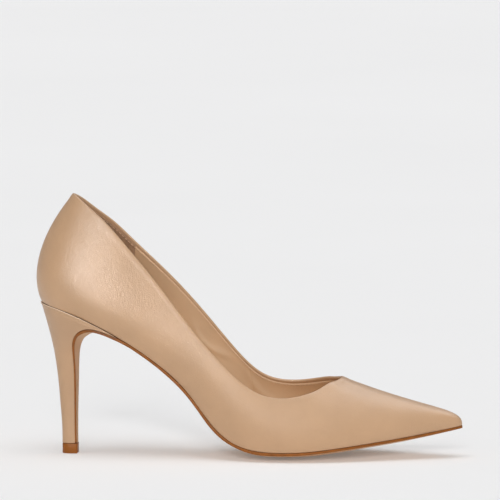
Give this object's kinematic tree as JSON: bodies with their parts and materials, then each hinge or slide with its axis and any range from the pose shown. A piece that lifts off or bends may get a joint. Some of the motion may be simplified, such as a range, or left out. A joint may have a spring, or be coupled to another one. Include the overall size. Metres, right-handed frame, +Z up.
{
  "type": "high heel pump",
  "caption": "Pointed closed-toe pump on a slim tall covered heel, with a thin sole that runs down the heel's front and a tan top piece.",
  "frame": {"origin": "on the ground under the middle of the shoe's box", "axes": "+X to the toe, +Y to the inner side of the foot, +Z up"},
  "size_m": [0.2466, 0.0808, 0.1507],
  "materials": {
    "upper_leather": "smooth fine-grained beige leather, semi-gloss",
    "heel_leather": "the same beige leather, drawn tight over the heel",
    "lining_leather": "smooth tan lining leather, satin",
    "grip_suede": "suede, matt, short nap",
    "sock_leather": "smooth tan sock leather, satin",
    "sole_leather": "beige finished sole with a tan painted edge",
    "top_piece_polymer": "hard tan polyurethane, satin",
    "stiffener_board": "moulded thermoplastic stiffener",
    "tape_fabric": "woven cotton tape",
    "insole_fibre": "pressed fibreboard",
    "filler_foam": "needled felt",
    "pad_foam": "soft closed-cell foam",
    "steel": "bright drawn steel",
    "heel_plastic": "moulded hard plastic"
  },
  "bodies": {
    "root": {"upper": "upper_leather", "vamp_lining": "lining_leather", "quarter_lining_lateral": "lining_leather", "quarter_lining_medial": "lining_leather", "heel_grip": "grip_suede", "insock": "sock_leather", "outsole": "sole_leather", "heel_cover": "heel_leather", "top_piece": "top_piece_polymer", "heel_counter": "stiffener_board", "toe_puff": "stiffener_board", "topline_tape": "tape_fabric", "insole_board": "insole_fibre", "shank_board": "insole_fibre", "steel_shank": "steel", "shank_rivets": "steel", "bottom_filler": "filler_foam", "forepart_pad": "pad_foam", "heel_pad": "pad_foam", "heel_core": "heel_plastic", "heel_tube": "steel", "top_piece_pin": "steel", "heel_screw": "steel", "heel_nails": "steel"}
  },
  "joints": []
}
